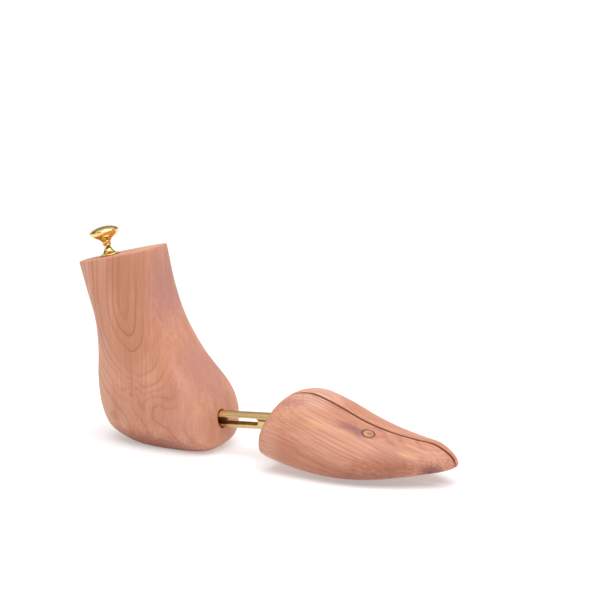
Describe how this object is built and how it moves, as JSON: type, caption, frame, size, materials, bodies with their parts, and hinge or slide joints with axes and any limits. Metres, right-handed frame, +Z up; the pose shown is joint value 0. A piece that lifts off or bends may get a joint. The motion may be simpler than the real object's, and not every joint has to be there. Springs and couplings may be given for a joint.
{
  "type": "shoe tree",
  "caption": "Full-heel cedar shoe tree for a right shoe, with a sprung slotted brass tube, a split forepart and a brass knob on the heel.",
  "frame": {"origin": "on the heel block's flat seat, in the tube's plane", "axes": "+X to the toe, +Y to the medial (inner) side of the foot, +Z up"},
  "size_m": [0.2938, 0.0755, 0.152],
  "materials": {
    "cedar": "bare sanded cedar",
    "cedar_plug": "bare sanded cedar, grain across",
    "brass_knob": "polished",
    "brass_tube": "satin",
    "steel": "bright turned",
    "spring_steel": "zinc plated",
    "nylon": "moulded, off-white"
  },
  "bodies": {
    "heel": {"heel_block": "cedar", "knob_foot": "brass_knob", "knob_head": "brass_knob", "knob_stud": "steel", "heel_cross_pin": "steel", "heel_pin_plug": "cedar_plug", "spring_seat_washer": "steel", "main_spring": "spring_steel"},
    "slider": {"slider_tube": "brass_tube", "tube_end_cap": "nylon", "tube_front_plug": "nylon", "tube_cross_pin": "steel", "tube_pin_plug": "cedar_plug", "forepart_medial_half": "cedar", "guide_rod": "steel", "rear_spread_spring": "spring_steel", "front_spread_spring": "spring_steel"},
    "lateral": {"forepart_lateral_half": "cedar", "stop_pin": "steel", "stop_pin_plug": "cedar_plug"}
  },
  "joints": [
    {"name": "tube_slide", "type": "slide", "parent": "heel", "child": "slider", "axis": [-0.9968, 0, -0.0802], "range_m": [0, 0.032], "stiffness_N_per_m": 900, "springref_m": -0.012, "deforming": ["main_spring"]},
    {"name": "lateral_half_squeeze", "type": "slide", "parent": "slider", "child": "lateral", "axis": [0, 1, 0], "range_m": [0, 0.002], "stiffness_N_per_m": 1500, "springref_m": -0.003, "deforming": ["rear_spread_spring", "front_spread_spring"]}
  ]
}
